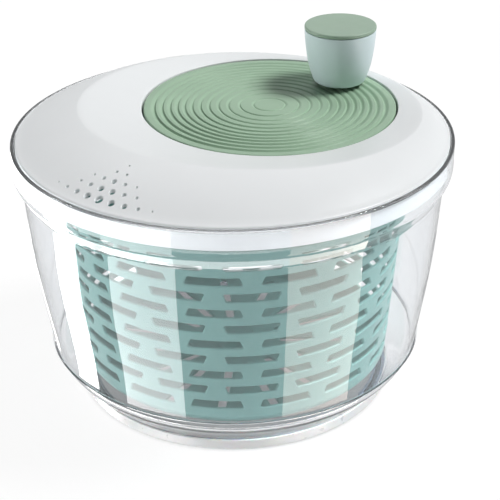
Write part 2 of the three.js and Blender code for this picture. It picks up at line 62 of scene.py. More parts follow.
MERGE = 0.004  # points closer than this become one
CURVE_LIMIT = 0.46  # share of an edge that a corner's curve may take
BEYOND = 1.6  # how far from its corner the point beyond a curve lies, in cuts
BEYOND_LIMIT = 0.485


def span(node):
    """The lowest and highest corners of a CAD node, in millimetres."""
    low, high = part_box(node)
    return low / MM, high / MM


# ---- sizes ----

# Bowl
RIM_R = span("bowl")[1].x
RIM_Z = span("bowl")[1].z
LIP = 2
LEDGE_Z = 158.2
LEDGE_GAP = 0.3  # between the ledge and the lid
COLLAR_Z = 143.5
COLLAR_IN = 126.6
BOWL_WALL = 2.3
BOWL_SIDE = [(97.3, 8), (104, 15.8), (109.8, 22.6), (113, 29), (114, 35.5), (121.2, 85), (125.2, 135)]
BOWL_FLOOR_Z = 8.8
BOWL_UNDER_Z = 6.2
RIB_IN = 90.8
RIB_OUT = 93.2
RIB_Z = 2
PIVOT_R = 4
PIVOT_TOP_Z = 18
PIVOT_SEAT_R = 12
PIVOT_SEAT_Z = 10.2

# Foot ring
FOOT_IN = 88.4
FOOT_OUT = 97.5
FOOT_TREAD_OUT = 95.75
FOOT_GAP = 0.3  # between the ring and the bowl's rib and underside

# Basket
BASKET_FOOT = (95, 22)
BASKET_TOP = (103.5, 132.6)
BASKET_WALL = 2.1
FLANGE_R = span("basket")[1].x
BASKET_TOP_Z = span("basket")[1].z
BASKET_FLOOR_Z = 14.4
BASKET_FLOOR_TOP_Z = 16.6
BASKET_FLOOR_R = 87
FLANGE_LIP = 2  # thickness of the lip that hangs from the flange's rim
FLANGE_LIP_Z = 132.6
FLANGE_UNDER_Z = 136.1
CELLS = 15  # slots in one row
CELL = 360 / CELLS
CELL_PHASE = -60.5  # degrees, of a slot in the lowest row
SLOT_ROWS = 10
SLOT_FIRST_Z = 31.7
SLOT_ROW_PITCH = 10.45
SLOT_HEIGHT = 5
SLOT_WIDE = 9  # half a slot's long edge, in degrees
SLOT_NARROW = 8.3
SLOT_CORNER = 1
SLOT_EASE = 0.55  # how far a slot's edge is eased
WALL_LOW_Z = 26.5  # the slotted part of the wall
WALL_TOP_Z = 130.6
MIDDLE_R = 99
FLOOR_SLOT_IN = 28
FLOOR_SLOT_OUT = 80
FLOOR_SLOT_WIDTH = 5
FLOOR_SLOT_EASE = 0.5
FLOOR_IN = 24
FLOOR_OUT = 83
HUB_R = 12
HUB_LOW_Z = 13
HUB_TOP_Z = 23.6
HUB_BORE_R = 7.4
HUB_BORE_Z = 21.4
DOG_RIB = (97.4, 102.5)  # inner and outer radius of the ribs that the wheel's dogs push
DOG_RIB_WIDTH = 3
DOG_RIB_Z = (121.6, 135.6)
DOG_RIB_ASIDE = 6.2

# Lid
LID_R = span("lid_shell")[1].x
LID_EDGE_Z = 160.9
SKIRT_R = 126.1
SKIRT_IN = 124.1
SKIRT_Z = 147.5
LID_WALL = 2.2
CREASE_OFFSET = 18.5
CREASE_R = 102
CREASE_Z = 171
CREASE_TILT = 0.05
CREASE_CUT = 2.6
SLOPE_RISE = 1.2
SLOPE_ROWS = [0.04, 0.12, 0.2, 0.28, 0.36, 0.44, 0.52, 0.6, 0.68, 0.76, 0.84, 0.93]
SLOPE_DEGREES = 13  # degrees of the slope's ring that are as long as the slope is wide
CRANK_OFFSET = 39
WELL_R = 77.9
WELL_EDGE_Z = 164.6
WELL_FLOOR_Z = 149
WELL_FLOOR_LOW_Z = 146.6
WELL_FLOOR_R = 74
COLLAR_R = 11.5
COLLAR_LOW_Z = 143
BORE_R = 8
DRAIN_ROWS = 5
DRAIN_ACROSS = 5  # holes on each side of the middle, at most
DRAIN_FIRST_R = 120.4
DRAIN_ROW_PITCH = 6.5
DRAIN_STEP = 3.9
DRAIN_LARGEST = 4.7
DRAIN_SMALLEST = 0.9
DRAIN_EASE = 0.25
DRAIN_CLEAR = 0.9  # around a hole, where the slope's own points are left out
PATCH = 24  # degrees on each side of -Y that the drain holes lie in

# Crank disc and knob
DISC_R = 76.8
DISC_Z = 164.3
DISC_THICK = 3
DISC_RIM = 0.35  # the rim's height above the centre
SHAFT_R = 6  # of the disc's shaft in its bush
SHAFT_LOW_Z = 143.3
SHOULDER_R = 9
SHOULDER_Z = 151.3
SHAFT_HOLE_R = 2
SHAFT_HOLE_Z = 156.3
RINGS = [9.7, 18, 25, 31, 36.7, 42, 47, 51.6, 56, 60.5, 65.3, 70.2]  # radii of the grooves
GROOVE_WIDE = (1.9, 4.3)  # at the centre and at the rim
GROOVE_DEEP = (0.42, 1.15)
GROOVE_REACH = (0.24, 0.62)  # shares of its width, inside and outside its lowest line
GROOVE_STEPS = 15  # points from one groove to the next
TAB_R = 68
TAB_TOP_Z = 157.1
SCREW_HOLE_R = 1.7
BOSS_R = 3.6
POST = ((span("knob_body")[0] + span("knob_body")[1]) / 2).to_2d()
POST_R = 5
POST_Z = 186.9
POST_HOLE = 14  # its depth
KNOB_Z = span("knob_body")[0].z
KNOB_BODY_Z = span("knob_body")[1].z
KNOB_SIDE = [(17, 3), (19.3, 10.4), (21, 19.9), (21.9, 28.4), (22.2, 34)]  # above the knob's foot
KNOB_BORE_R = 5.4
KNOB_SLEEVE_R = 7.7
KNOB_WEB = 2.8  # from the underside of the web to the top of the post
KNOB_MOUTH_R = 20.5  # the recess that the cap's rim sits in
KNOB_MOUTH = 2.2  # its depth
KNOB_TOP_Z = span("knob_cap")[1].z
KNOB_R = 22.3
CAP_RIM = (18.2, 20.2)  # inner and outer radius
CAP_RIM_LOW = 1.9  # how far it reaches below the top of the knob's body
CAP_GAP = 0.3

# Drive wheel under the lid
WHEEL_Z = (span("drive_plate")[0].z, 135)
WHEEL_IN = 90
WHEEL_OUT = 96.5
WHEEL_BORE_R = 5.35
WHEEL_HUB_R = 13
WHEEL_HUB_Z = (131.5, 142.7)
SPOKE_IN = 11.5
SPOKE_WIDTH = 12
SPOKE_THICK = 3
DOG_R = span("drive_plate")[1].x
DOG_WIDTH = 8

# Camera
TARGET = Vector((0, 0, 90)) * MM
AROUND = math.radians(36)
UP_ANGLE = 0.4784419  # radians above the floor
ROLL = -0.014414  # radians
DISTANCE = 0.85  # metres from the target
BACK = Vector((  # from the target to the camera
    math.cos(UP_ANGLE) * math.sin(AROUND), -math.cos(UP_ANGLE) * math.cos(AROUND), math.sin(UP_ANGLE),
))
FOCAL_LENGTH = 99.71
SENSOR_WIDTH = 36
SHIFT = (0.0325, -0.0271)

# Levels of the bowl's side, each its radius, z and tilt in degrees, that the soft boxes are mirrored by
WALL_LEVELS = [
    (RIM_R, RIM_Z, -2), (RIM_R, COLLAR_Z, 2), (125, 134, 4), (121, 85, 6.5), (116, 50, 8.3),
    (113.5, 32, 11),
]
FLARE_LEVELS = [(RIM_R, COLLAR_Z, 28), (125, 135, 30)]
BAND_LEVELS = [(RIM_R, RIM_Z, -2.5), (RIM_R, COLLAR_Z, 2.5)]

# Soft boxes: name, first and last direction on the bowl in degrees, strength, colour, metres away, levels
PURE_WHITE = (1, 1, 1)
WARM_WHITE = (1, 0.89, 0.82)
SOFT_BOXES = [
    ("left", -86.7, -68.3, 8.2, PURE_WHITE, 3, WALL_LEVELS),
    ("narrow", -107, -97.5, 12.5, PURE_WHITE, 3, WALL_LEVELS),
    ("right", -41, -20.6, 5.5, WARM_WHITE, 3, WALL_LEVELS),
    ("band", -142, -30, 5.2, PURE_WHITE, 3.2, BAND_LEVELS),
]
SOFT_BOX_COLUMNS = 25

# Suns: name, energy, then angle, azimuth and elevation in degrees
LIGHTS = [("key", 2.95, 20, 40, 54), ("back", 0.4, 40, 126, 50), ("fill", 1.4, 16, 216, 3)]

# Floor and sky
FLOOR_HALF = 6  # metres
FLOOR_GLOW = 0.93
FLOOR_SCATTER = 0.1
FLOOR_SHADE = (0.088, 0.1)  # radii in metres, from the shade under the bowl to the open floor
SHADE_SHARE = 0.28  # of the glow, in that shade
SKY_COLOUR = (0.97, 0.985, 1, 1)
SKY_STRENGTH = 0.92
SKY_LOSSES = [("Is Reflection Ray", 0.34), ("Is Diffuse Ray", 0.56)]


# ---- mesh building ----


def corners_of(rows):
    """Section corners as (radius, z, cut, offset, drop), with what a row leaves out as zero."""
    return [tuple(row) + (0,) * (5 - len(row)) for row in rows]


def section(rows, closed=True, steps=4):
    """Points (radius, z, offset, drop) of a section. A corner with a cut becomes a curve that starts that
    far away, with one more point on each side of it that keeps the shading of the flat parts true."""
    rows = corners_of(rows)
    points = []
    for i, (r, z, cut, offset, drop) in enumerate(rows):
        here = Vector((r, z, offset, drop))
        at_end = not closed and i in (0, len(rows) - 1)
        if not cut or at_end:
            points.append(here)
            continue
        ends = []
        beyond = []
        for other in (rows[i - 1], rows[(i + 1) % len(rows)]):
            way = Vector((other[0], other[1], other[3], other[4])) - here
            length = math.hypot(way[0], way[1]) or 1
            ends.append(here + way * min(cut / length, CURVE_LIMIT))
            beyond.append(here + way * min(BEYOND * cut / length, BEYOND_LIMIT))
        points.append(beyond[0])
        for k in range(steps + 1):
            t = k / steps
            points.append(ends[0] * (1 - t) ** 2 + here * 2 * t * (1 - t) + ends[1] * t * t)
        points.append(beyond[1])
    return points


def smooth_line(points, steps=6):
    """A Catmull-Rom curve through (radius, z) points."""
    vectors = [Vector(p) for p in points]
    ends = [2 * vectors[0] - vectors[1], *vectors, 2 * vectors[-1] - vectors[-2]]
    line = []
    for a, b, c, d in zip(ends, ends[1:], ends[2:], ends[3:]):
        for k in range(steps):
            t = k / steps
            line.append(0.5 * (2 * b + (c - a) * t + (2 * a - 5 * b + 4 * c - d) * t * t
                               + (3 * b - a - 3 * c + d) * t ** 3))
    return line + [vectors[-1]]


def moved_in(line, distance):
    """A line moved towards the axis, square to itself."""
    moved = []
    for i, p in enumerate(line):
        way = (line[min(i + 1, len(line) - 1)] - line[max(i - 1, 0)]).normalized()
        moved.append(p + Vector((-way.y, way.x)) * distance)
    return moved


class Shape:
    """Points and faces in millimetres, gathered surface by surface."""

    def __init__(self):
        self.points = []
        self.faces = []

    def add(self, points, faces):
        start = len(self.points)
        self.points += [tuple(p) for p in points]
        self.faces += [[start + i for i in face] for face in faces]

    def grid(self, rows, round_rows=False, round_columns=False):
        """Quads between rows of points."""
        high, wide = len(rows), len(rows[0])
        faces = []
        for i in range(high if round_rows else high - 1):
            for j in range(wide if round_columns else wide - 1):
                below, beside = (i + 1) % high, (j + 1) % wide
                faces.append([i * wide + j, i * wide + beside, below * wide + beside, below * wide + j])
        self.add([p for row in rows for p in row], faces)

    def turn(self, points, closed=True, phase=0.0, centre=(0, 0), sides=SIDES):
        """A section of (radius, z, offset, drop) points turned about Z."""
        rows = []
        for r, z, offset, drop in points:
            row = []
            for k in range(sides):
                angle = math.radians(phase + 360 * k / sides)
                y = r * math.sin(angle)
                row.append((centre[0] + r * math.cos(angle), centre[1] + offset + y, z - drop * y))
            rows.append(row)
        self.grid(rows, round_rows=closed, round_columns=True)

    def slab(self, outline, low, top, cut):
        """An outline of (x, y) points drawn from low to top, with its ends eased."""
        small = inset(outline, cut)
        levels = [(small, low), (outline, low + cut), (outline, top - cut), (small, top)]
        self.grid([[(x, y, z) for x, y in line] for line, z in levels], round_columns=True)
        count = len(outline)
        for line, z in (levels[0], levels[3]):
            self.add([(x, y, z) for x, y in line], [list(range(count))])


def inset(outline, distance):
    """A closed outline, counter-clockwise, moved inwards."""
    moved = []
    count = len(outline)
    for i, p in enumerate(outline):
        way = Vector(outline[(i + 1) % count]) - Vector(outline[i - 1])
        way.normalize()
        moved.append((p[0] - way.y * distance, p[1] + way.x * distance))
    return moved


def rounded_box(inner, outer, width, degrees, corner):
    """Outline of a box between two radii, centred on a direction."""
    middle = Vector(((inner + outer) / 2, 0))
    half = Vector(((outer - inner) / 2 - corner, width / 2 - corner))
    turned = Matrix.Rotation(math.radians(degrees), 2)
    outline = []
    for quarter in range(4):
        sx, sy = (1, -1, -1, 1)[quarter], (1, 1, -1, -1)[quarter]
        for k in range(5):
            angle = math.radians(90 * quarter + 22.5 * k)
            corner_point = middle + Vector((sx * half.x, sy * half.y))
            point = corner_point + Vector((math.cos(angle), math.sin(angle))) * corner
            outline.append(tuple(turned @ point))
    return outline


def ring_outline(r, centre, sides=32):
    angles = [2 * math.pi * k / sides for k in range(sides)]
    return [(centre[0] + r * math.cos(angle), centre[1] + r * math.sin(angle)) for angle in angles]


def holds(line, u, v):
    """Whether a point is inside a line of (u, v) points, closed by its ends."""
    inside = False
    for (u0, v0), (u1, v1) in zip(line, line[1:] + line[:1]):
        if (v0 > v) != (v1 > v) and u < u0 + (u1 - u0) * (v - v0) / (v1 - v0):
            inside = not inside
    return inside


def filled(grid, lines):
    """Triangles over the (u, v) points of a grid and of lines, a list of (points, closed), with the lines'
    insides left out."""
    points = [Vector(p) for p in grid]
    edges = []
    for line, closed in lines:
        start, count = len(points), len(line)
        points += [Vector(p) for p in line]
        edges += [(start + i, start + (i + 1) % count) for i in range(count if closed else count - 1)]
    made, _, faces = delaunay_2d_cdt(points, edges, [], 0, 1e-6)[:3]
    boxes = []
    for line, _ in lines:
        across, up = [p[0] for p in line], [p[1] for p in line]
        boxes.append((line, min(across), max(across), min(up), max(up)))
    kept = []
    for face in faces:
        u = sum(made[i].x for i in face) / 3
        v = sum(made[i].y for i in face) / 3
        if not any(a <= u <= b and c <= v <= d and holds(line, u, v) for line, a, b, c, d in boxes):
            kept.append(list(face))
    return [tuple(p) for p in made], kept


def pierced(grid, holes, depth):
    """A wall with eased holes, as surfaces of (u, v, depth) points. holes(side) gives an ease and a list of
    (line, closed), with the lines grown by that ease for side 1, and not grown for side 0."""
    ease, wide = holes(1)
    _, narrow = holes(0)
    surfaces = []
    for level in (0, depth):
        points, faces = filled(grid, wide)
        surfaces.append(([(u, v, level) for u, v in points], faces))
    levels = [(wide, 0), (narrow, ease), (narrow, depth - ease), (wide, depth)]
    for i in range(len(wide)):
        rows = [[(u, v, level) for u, v in lines[i][0]] for lines, level in levels]
        side = Shape()
        side.grid(rows, round_columns=wide[i][1])
        surfaces.append((side.points, side.faces))
    return surfaces


def piece(name, shape, body, material, nodes, sharp=32):
    """The shape as one object on a body, in place of the CAD nodes."""
    mesh = bpy.data.meshes.new(name)
    mesh.from_pydata([Vector(p) * MM for p in shape.points], [], shape.faces)
    made = bmesh.new()
    made.from_mesh(mesh)
    bmesh.ops.remove_doubles(made, verts=made.verts, dist=MERGE * MM)
    bmesh.ops.dissolve_degenerate(made, edges=made.edges, dist=MERGE * MM / 4)
    bmesh.ops.recalc_face_normals(made, faces=made.faces)
    made.to_mesh(mesh)
    made.free()
    mesh.shade_smooth()
    mesh.set_sharp_from_angle(angle=math.radians(sharp))
    mesh.materials.append(material)
    thing = bpy.data.objects.new(name, mesh)
    bpy.context.scene.collection.objects.link(thing)
    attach(thing, body)
    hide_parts(*nodes)


# ---- materials ----


class Paint:
    """A material with a Principled shader, whose inputs are fed by patterns in the object's own space."""

    def __init__(self, name):
        self.material = bpy.data.materials.new(name)
        self.material.use_nodes = True
        self.tree = self.material.node_tree
        self.shader = self.tree.nodes["Principled BSDF"]
        self.place = self.tree.nodes.new("ShaderNodeTexCoord").outputs["Object"]

    def set(self, **values):
        for name, value in values.items():
            self.shader.inputs[name.replace("_", " ")].default_value = value

    def join(self, source, target):
        self.tree.links.new(source, target)

    def noise(self, size, detail, stretch=(1, 1, 1)):
        """Noise whose features are about size millimetres across."""
        scaled = self.tree.nodes.new("ShaderNodeMapping")
        scaled.inputs["Scale"].default_value = stretch
        self.join(self.place, scaled.inputs["Vector"])
        noise = self.tree.nodes.new("ShaderNodeTexNoise")
        noise.inputs["Scale"].default_value = 1 / (size * MM)
        noise.inputs["Detail"].default_value = detail
        self.join(scaled.outputs["Vector"], noise.inputs["Vector"])
        return noise.outputs["Fac"]

    def ranged(self, source, low, high, to_low, to_high):
        mapped = self.tree.nodes.new("ShaderNodeMapRange")
        for name, value in zip(("From Min", "From Max", "To Min", "To Max"), (low, high, to_low, to_high)):
            mapped.inputs[name].default_value = value
        self.join(source, mapped.inputs["Value"])
        return mapped.outputs["Result"]

    def sum(self, *sources):
        total = sources[0]
        for source in sources[1:]:
            added = self.tree.nodes.new("ShaderNodeMath")
            self.join(total, added.inputs[0])
            self.join(source, added.inputs[1])
            total = added.outputs[0]
        return total

    def tones(self, source, *colours):
        ramp = self.tree.nodes.new("ShaderNodeValToRGB")
        stops = ramp.color_ramp.elements
        while len(stops) < len(colours):
            stops.new(0.5)
        for i, colour in enumerate(colours):
            stops[i].position = 0.3 + 0.4 * i / (len(colours) - 1)
            stops[i].color = (*colour, 1)
        self.join(source, ramp.inputs["Fac"])
        self.join(ramp.outputs["Color"], self.shader.inputs["Base Color"])

    def bump(self, *layers):
        """Layers of (source, height in millimetres)."""
        normal = None
        for source, height in layers:
            bump = self.tree.nodes.new("ShaderNodeBump")
            bump.inputs["Strength"].default_value = 1
            bump.inputs["Distance"].default_value = height * MM
            self.join(source, bump.inputs["Height"])
            if normal:
                self.join(normal, bump.inputs["Normal"])
            normal = bump.outputs["Normal"]
        self.join(normal, self.shader.inputs["Normal"])


def shaded(colour, factor):
    return tuple(c * factor for c in colour)


def moulded(name, colour, roughness, grain=0.5, grain_deep=0.012, spread=0.035, hair_deep=0.08, **values):
    """Moulded plastic: a fine grain, slow changes of tone and gloss, and hairline scratches."""
    paint = Paint(name)
    broad = paint.noise(38, 2)
    fine = paint.noise(grain, 2)
    flow = paint.noise(9, 3)
    scratches = paint.noise(1.2, 6, stretch=(1, 0.04, 1))
    hairs = paint.ranged(scratches, 0.66, 0.7, 0, hair_deep)
    paint.tones(broad, shaded(colour, 1 - spread), colour, shaded(colour, 1 + spread))
    gloss = paint.ranged(flow, 0.3, 0.7, roughness - 0.05, roughness + 0.05)
    paint.join(paint.sum(gloss, hairs), paint.shader.inputs["Roughness"])
    paint.bump((fine, grain_deep), (flow, 0.008))
    paint.set(**values)
    return paint.material


def clear_plastic():
    """Clear moulded plastic. Light reaches what is inside it without being bent."""
    paint = Paint("clear_plastic")
    paint.set(Transmission_Weight=0.985, IOR=1.46)
    smudges = paint.noise(14, 4)
    paint.tones(smudges, (0.91, 0.922, 0.94), (0.935, 0.944, 0.955))
    haze = paint.ranged(paint.noise(3, 3), 0.35, 0.75, 0, 0.035)
    hairs = paint.ranged(paint.noise(1.1, 5, stretch=(1, 1, 0.05)), 0.66, 0.7, 0, 0.04)
    paint.join(paint.sum(haze, hairs), paint.shader.inputs["Roughness"])
    paint.bump((paint.noise(24, 1), 0.06))
    nodes, output = paint.tree.nodes, paint.tree.nodes["Material Output"]
    path = nodes.new("ShaderNodeLightPath")
    through = nodes.new("ShaderNodeBsdfTransparent")
    through.inputs["Color"].default_value = (0.93, 0.96, 0.97, 1)
    mix = nodes.new("ShaderNodeMixShader")
    paint.join(path.outputs["Is Shadow Ray"], mix.inputs["Fac"])
    paint.join(paint.shader.outputs["BSDF"], mix.inputs[1])
    paint.join(through.outputs["BSDF"], mix.inputs[2])
    paint.join(mix.outputs["Shader"], output.inputs["Surface"])
    return paint.material


def milky_plastic():
    """Milky plastic of the foot ring, pale on its outer side, with painted shade that makes it grey where it
    lies under the bowl.
    """
    paint = Paint("milky_plastic")
    paint.set(Transmission_Weight=0.15, Subsurface_Weight=0.2, Subsurface_Scale=0.004, IOR=1.46)
    flat = paint.tree.nodes.new("ShaderNodeVectorMath")
    flat.operation = "MULTIPLY"
    flat.inputs[1].default_value = (1, 1, 0)
    length = paint.tree.nodes.new("ShaderNodeVectorMath")
    length.operation = "LENGTH"
    paint.join(paint.place, flat.inputs[0])
    paint.join(flat.outputs[0], length.inputs[0])
    # Painted shade: inwards of the ring's outer side, where the bowl covers it, the first colour of the tones
    # below (a dark grey-blue) stands in for the bowl's shadow.
    outside = paint.ranged(length.outputs["Value"], (FOOT_OUT - 1.3) * MM, (FOOT_OUT - 0.5) * MM, 0, 0.9)
    clouds = paint.ranged(paint.noise(18, 3), 0.3, 0.7, 0, 0.1)
    paint.tones(paint.sum(outside, clouds), (0.14, 0.17, 0.22), (1, 1, 1))
    gloss = paint.ranged(paint.noise(7, 3), 0.3, 0.7, 0.26, 0.38)
    paint.join(gloss, paint.shader.inputs["Roughness"])
    paint.bump((paint.noise(0.6, 2), 0.006), (paint.noise(9, 3), 0.01))
    return paint.material


def bright_steel():
    """Zinc-plated steel with turning marks and a few dull spots."""
    paint = Paint("zinc_steel")
    paint.set(Metallic=1.0)
    spots = paint.noise(2.2, 5)
    marks = paint.noise(0.35, 2, stretch=(1, 1, 6))
    paint.tones(spots, (0.5, 0.51, 0.52), (0.68, 0.69, 0.7))
    paint.join(paint.ranged(spots, 0.3, 0.7, 0.24, 0.42), paint.shader.inputs["Roughness"])
    paint.bump((marks, 0.01))
    return paint.material


CLEAR = clear_plastic()
MILKY = milky_plastic()
MINT = moulded("mint_plastic", (0.202, 0.4, 0.372), 0.34, grain_deep=0.006)
WHITE = moulded("white_plastic", (0.84, 0.86, 0.87), 0.34, spread=0.008, grain_deep=0.006, hair_deep=0.03)
WHEEL_WHITE = moulded("wheel_plastic", (0.83, 0.84, 0.83), 0.4, grain=0.8)
SAGE = moulded("sage_plastic", (0.345, 0.495, 0.36), 0.36, grain=0.4, grain_deep=0.018,
                Specular_IOR_Level=0.2)
PALE = moulded("pale_sage_plastic", (0.77, 0.9, 0.93), 0.34, grain=0.4)
CAP_SAGE = moulded("cap_plastic", (0.33, 0.455, 0.35), 0.36, grain=0.4, grain_deep=0.018)
NATURAL = moulded("natural_plastic", (0.8, 0.78, 0.71), 0.42, grain=0.7)
STEEL = bright_steel()


# ---- bowl ----


def bowl():
    side = smooth_line(BOWL_SIDE)
    inside = [p for p in moved_in(side, BOWL_WALL) if BOWL_FLOOR_Z + 1.5 < p.y]
    heel_r, heel_z = BOWL_SIDE[0]
    under = [(0, BOWL_UNDER_Z), (RIB_IN, BOWL_UNDER_Z, 0.8), (RIB_IN, RIB_Z, 0.5), (RIB_OUT, RIB_Z, 0.5)]
    lip_r = RIM_R - LIP
    collar = [
        (*side[-1], 1), (RIM_R - 0.3, COLLAR_Z, 1.2), (RIM_R, COLLAR_Z + 3), (RIM_R, RIM_Z, 0.9),
        (lip_r, RIM_Z, 0.7), (lip_r, LEDGE_Z, 0.4), (COLLAR_IN, LEDGE_Z, 0.4), (COLLAR_IN, COLLAR_Z, 2),
    ]
    pivot = [
        (PIVOT_SEAT_R, BOWL_FLOOR_Z, 0.8), (PIVOT_SEAT_R, PIVOT_SEAT_Z, 0.4), (PIVOT_R, PIVOT_SEAT_Z, 0.4),
        (PIVOT_R, PIVOT_TOP_Z, 0.9), (0, PIVOT_TOP_Z),
    ]
    rows = [
        *under, (RIB_OUT, heel_z - 0.1, 0.4), *side[:-1], *collar, (*inside[-1], 1.2),
        *reversed(inside[:-1]), (heel_r - 3, BOWL_FLOOR_Z, 3), *pivot,
    ]
    shape = Shape()
    shape.turn(section(rows))
    piece("clear_bowl", shape, "bowl", CLEAR, ["bowl"])


def foot_ring():
    top = BOWL_SIDE[0][1] - 0.4
    groove_in, groove_out, groove_z = RIB_IN - FOOT_GAP, RIB_OUT + FOOT_GAP, RIB_Z - FOOT_GAP
    inner_top = BOWL_UNDER_Z - FOOT_GAP
    rows = [
        (FOOT_IN, 0, 0.7), (FOOT_TREAD_OUT, 0, 0.9), (FOOT_OUT - 0.3, 1.4, 0.8), (FOOT_OUT, top, 0.5),
        (groove_out, top, 0.3), (groove_out, groove_z, 0.3), (groove_in, groove_z, 0.3),
        (groove_in, inner_top, 0.3), (FOOT_IN + 0.2, inner_top, 0.5),
    ]
    shape = Shape()
    shape.turn(section(rows))
    piece("soft_foot_ring", shape, "bowl", MILKY, ["foot_ring"])


# ---- basket ----


def basket_r(z):
    share = (z - BASKET_FOOT[1]) / (BASKET_TOP[1] - BASKET_FOOT[1])
    return BASKET_FOOT[0] + share * (BASKET_TOP[0] - BASKET_FOOT[0])


def half_slot(low_half, top_half, height, corner):
    """Half an outline of a slot, from the middle of its lower edge to the middle of its upper edge, as
    (degrees, z) measured from its middle. The long edges have a point every degree or so."""
    turn = math.degrees(1 / MIDDLE_R)
    half = height / 2
    line = [(-low_half * k / 5, -half) for k in range(5)]
    for first, end, z in ((270, low_half, -half + corner), (180, top_half, half - corner)):
        for k in range(5):
            angle = math.radians(first - 22.5 * k)
            line.append((-end + corner * turn * (1 + math.cos(angle)), z + corner * math.sin(angle)))
    return line + [(-top_half * k / 5, half) for k in range(4, -1, -1)]


def wall_slots(side):
    """The slots of one cell: a whole one in each even row, and two halves in each odd row."""
    grow = SLOT_EASE * side
    more = grow * math.degrees(1 / MIDDLE_R)
    lines = []
    for row in range(SLOT_ROWS):
        z = SLOT_FIRST_Z + row * SLOT_ROW_PITCH
        odd = row % 2
        low, top = (SLOT_NARROW, SLOT_WIDE) if odd else (SLOT_WIDE, SLOT_NARROW)
        half = half_slot(low + more, top + more, SLOT_HEIGHT + 2 * grow, SLOT_CORNER + grow)
        if odd:
            lines.append(([(CELL / 2 + u, z + v) for u, v in half], False))
            lines.append(([(-CELL / 2 - u, z + v) for u, v in half], False))
        else:
            right = [(-u, z + v) for u, v in reversed(half[1:-1])]
            lines.append(([(u, z + v) for u, v in half] + right, True))
    return SLOT_EASE, lines


def wall_grid():
    """Points of one cell's wall: full rows between the slots' rows, and a few beside the slots."""
    edge = int(CELL / 2)
    levels = [WALL_LOW_Z]
    levels += [SLOT_FIRST_Z + SLOT_ROW_PITCH * (row + 0.5) for row in range(SLOT_ROWS - 1)]
    levels.append(WALL_TOP_Z)
    points = [(2 * k - edge, z) for z in levels for k in range(edge + 1)]
    for row in range(SLOT_ROWS):
        z = SLOT_FIRST_Z + row * SLOT_ROW_PITCH
        beside = (-1, 0, 1) if row % 2 else (-edge, 1 - edge, edge - 1, edge)
        points += [(u, z + v) for u in beside for v in (-2.2, 0, 2.2)]
    return points


def floor_slots(side):
    """The radial slot of one cell's floor."""
    end = FLOOR_SLOT_WIDTH / 2
    half = end + FLOOR_SLOT_EASE * side
    line = []
    for centre, start in ((FLOOR_SLOT_OUT - end, -90), (FLOOR_SLOT_IN + end, 90)):
        for k in range(9):
            angle = math.radians(start + 22.5 * k)
            x, y = centre + half * math.cos(angle), half * math.sin(angle)
            line.append((math.degrees(math.atan2(y, x)), math.hypot(x, y)))
    return FLOOR_SLOT_EASE, [(line, True)]


def basket():
    """Wall and floor cell by cell, then the flange, the rings that join them, the hub and the dog ribs."""
    shape = Shape()
    wall = pierced(wall_grid(), wall_slots, BASKET_WALL)
    floor_grid = [(-CELL / 2 + 2 * k, r) for r in (FLOOR_IN, FLOOR_OUT) for k in range(int(CELL / 2) + 1)]
    floor_grid += [(side * CELL / 2, r) for side in (-1, 1) for r in range(FLOOR_IN + 8, FLOOR_OUT - 4, 8)]
    floor = pierced(floor_grid, floor_slots, BASKET_FLOOR_TOP_Z - BASKET_FLOOR_Z)

    def on_wall(degrees, z, depth):
        angle, r = math.radians(degrees), basket_r(z) - depth
        return r * math.cos(angle), r * math.sin(angle), z

    def on_floor(degrees, r, depth):
        angle = math.radians(degrees)
        return r * math.cos(angle), r * math.sin(angle), BASKET_FLOOR_TOP_Z - depth

    for cell in range(CELLS):
        turned = CELL_PHASE + CELL * cell
        for surfaces, place in ((wall, on_wall), (floor, on_floor)):
            for points, faces in surfaces:
                shape.add([place(u + turned, v, depth) for u, v, depth in points], faces)
    top_r = BASKET_TOP[0]
    lip_r = FLANGE_R - FLANGE_LIP
    rim = [
        (basket_r(WALL_TOP_Z), WALL_TOP_Z), (top_r, FLANGE_UNDER_Z, 0.8), (lip_r, FLANGE_UNDER_Z, 0.6),
        (lip_r, FLANGE_LIP_Z, 0.4), (FLANGE_R, FLANGE_LIP_Z, 0.5), (FLANGE_R, BASKET_TOP_Z, 1.1),
        (top_r - BASKET_WALL, BASKET_TOP_Z, 1), (basket_r(WALL_TOP_Z) - BASKET_WALL, WALL_TOP_Z),
    ]
    shape.turn(section(rim, closed=False), closed=False, phase=CELL_PHASE)
    foot_r, foot_z = BASKET_FOOT
    under = [
        (basket_r(WALL_LOW_Z), WALL_LOW_Z), (foot_r, foot_z, 4), (BASKET_FLOOR_R, BASKET_FLOOR_Z, 5),
        (FLOOR_OUT, BASKET_FLOOR_Z),
    ]
    inner = [
        (basket_r(WALL_LOW_Z) - BASKET_WALL, WALL_LOW_Z), (foot_r - BASKET_WALL, foot_z, 3.5),
        (BASKET_FLOOR_R, BASKET_FLOOR_TOP_Z, 4), (FLOOR_OUT, BASKET_FLOOR_TOP_Z),
    ]
    hub = [
        (FLOOR_IN, BASKET_FLOOR_TOP_Z), (HUB_R + 0.4, BASKET_FLOOR_TOP_Z, 2), (HUB_R - 1, HUB_TOP_Z, 1.4),
        (0, HUB_TOP_Z), (0, HUB_BORE_Z), (HUB_BORE_R, HUB_BORE_Z, 0.3), (HUB_BORE_R, HUB_LOW_Z, 0.4),
        (HUB_R, HUB_LOW_Z, 0.5), (HUB_R, BASKET_FLOOR_Z, 0.6), (FLOOR_IN, BASKET_FLOOR_Z),
    ]
    for rows in (under, inner, hub):
        shape.turn(section(rows, closed=False), closed=False, phase=CELL_PHASE)
    dog_rib = rounded_box(*DOG_RIB, DOG_RIB_WIDTH, 0, 0.8)
    for arm in range(4):
        turned = Matrix.Rotation(math.radians(90 * arm), 2)
        for aside in (-DOG_RIB_ASIDE, DOG_RIB_ASIDE):
            shape.slab([tuple(turned @ Vector((x, y + aside))) for x, y in dog_rib], *DOG_RIB_Z, 0.7)
    piece("slotted_basket", shape, "basket", MINT, ["basket"])


# ---- lid ----


